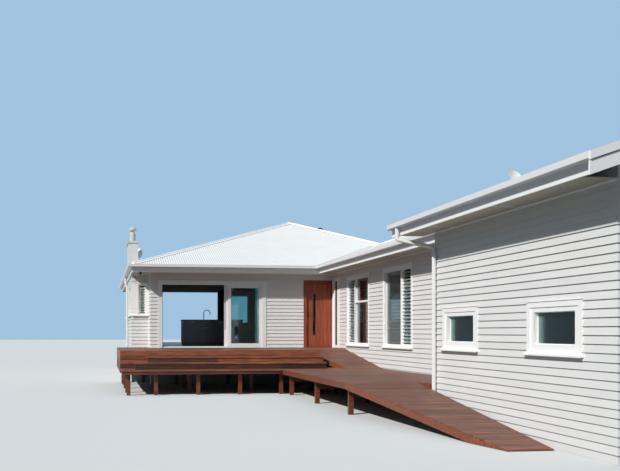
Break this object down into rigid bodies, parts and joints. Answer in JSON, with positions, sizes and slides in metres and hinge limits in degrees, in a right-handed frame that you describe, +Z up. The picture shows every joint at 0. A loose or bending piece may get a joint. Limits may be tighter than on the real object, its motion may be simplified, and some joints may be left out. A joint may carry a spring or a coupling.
{
  "type": "beach house",
  "caption": "Single-storey weatherboard beach house with hipped main block, long hall wing, near gabled wing, timber deck, steps and ramps, sliding doors and a hinged entry door.",
  "frame": {"origin": "bottom centre of the whole house, at the lowest point of the ground", "axes": "+Z up, +Y from the near gable towards the sea, +X to the east along the entrance front"},
  "size_m": [12.24, 30.413, 6.2175],
  "materials": {
    "black_metal": "black satin metal",
    "cedar": "oiled cedar boards",
    "clear_glass": "clear float glass",
    "dark_cabinet": "dark stained cabinet, satin",
    "dark_worktop": "dark polished worktop",
    "deck_timber": "oiled hardwood",
    "door_aluminium": "white powder coat",
    "floor_timber": "polished floor boards",
    "flue_metal": "weathered steel",
    "gutter_metal": "white coated folded metal",
    "lining_board": "painted soffit and ceiling lining, matt",
    "obscure_glass": "obscured glass, grey green",
    "painted_boards": "painted weatherboard, satin",
    "painted_trim": "white painted timber, satin",
    "roof_iron": "white coated corrugated iron"
  },
  "bodies": {
    "house": {"barge_boards": "painted_trim", "bay_front_wall": "painted_boards", "bay_side_walls": "painted_boards", "bay_window_frames": "painted_trim", "ceiling": "lining_board", "chimney": "painted_boards", "chimney_flue": "flue_metal", "deck_bearers": "deck_timber", "deck_posts": "deck_timber", "deck_skirts": "deck_timber", "deck_steps": "deck_timber", "deck_stringers": "deck_timber", "door_head_walls": "painted_boards", "door_sill_walls": "painted_boards", "downpipes": "gutter_metal", "east_wall": "painted_boards", "entry_frame": "cedar", "fascias": "painted_trim", "floor": "floor_timber", "gutters": "gutter_metal", "hall_wall": "painted_boards", "hall_window_frames": "painted_trim", "kitchen_island": "dark_cabinet", "kitchen_tap": "black_metal", "kitchen_worktop": "dark_worktop", "louvres": "painted_trim", "lower_deck": "deck_timber", "main_deck": "deck_timber", "main_roof": "roof_iron", "mid_roof": "roof_iron", "near_back_gable": "painted_boards", "near_gable_wall": "painted_boards", "near_return_wall": "painted_boards", "near_roof": "roof_iron", "near_wall": "painted_boards", "near_window_frames": "painted_trim", "near_window_glass": "obscure_glass", "north_wall_piers": "painted_boards", "ramps": "deck_timber", "rear_door_frame": "door_aluminium", "rear_window_frames": "painted_trim", "roof_caps": "roof_iron", "roof_vent": "black_metal", "satellite_dishes": "gutter_metal", "slider_fixed_panel": "door_aluminium", "slider_frame": "door_aluminium", "soffits": "lining_board", "south_wall_piers": "painted_boards", "west_wall": "painted_boards", "window_glass": "clear_glass"},
    "entry_door_leaf": {"entry_door": "cedar", "entry_door_glass": "clear_glass"},
    "middle_panel": {"slider_middle_panel": "door_aluminium", "slider_middle_glass": "clear_glass"},
    "leading_panel": {"slider_leading_panel": "door_aluminium", "slider_leading_glass": "clear_glass"}
  },
  "joints": [
    {"name": "entry_door_hinge", "type": "hinge", "parent": "house", "child": "entry_door_leaf", "pos_m": [1.0805, 2.5175, 2.3], "axis": [0, 0, -1], "range_deg": [0, 90]},
    {"name": "middle_panel_slide", "type": "slide", "parent": "house", "child": "middle_panel", "axis": [-1, 0, 0], "range_m": [0, 1.03]},
    {"name": "leading_panel_slide", "type": "slide", "parent": "house", "child": "leading_panel", "axis": [-1, 0, 0], "range_m": [0, 2.07]}
  ]
}
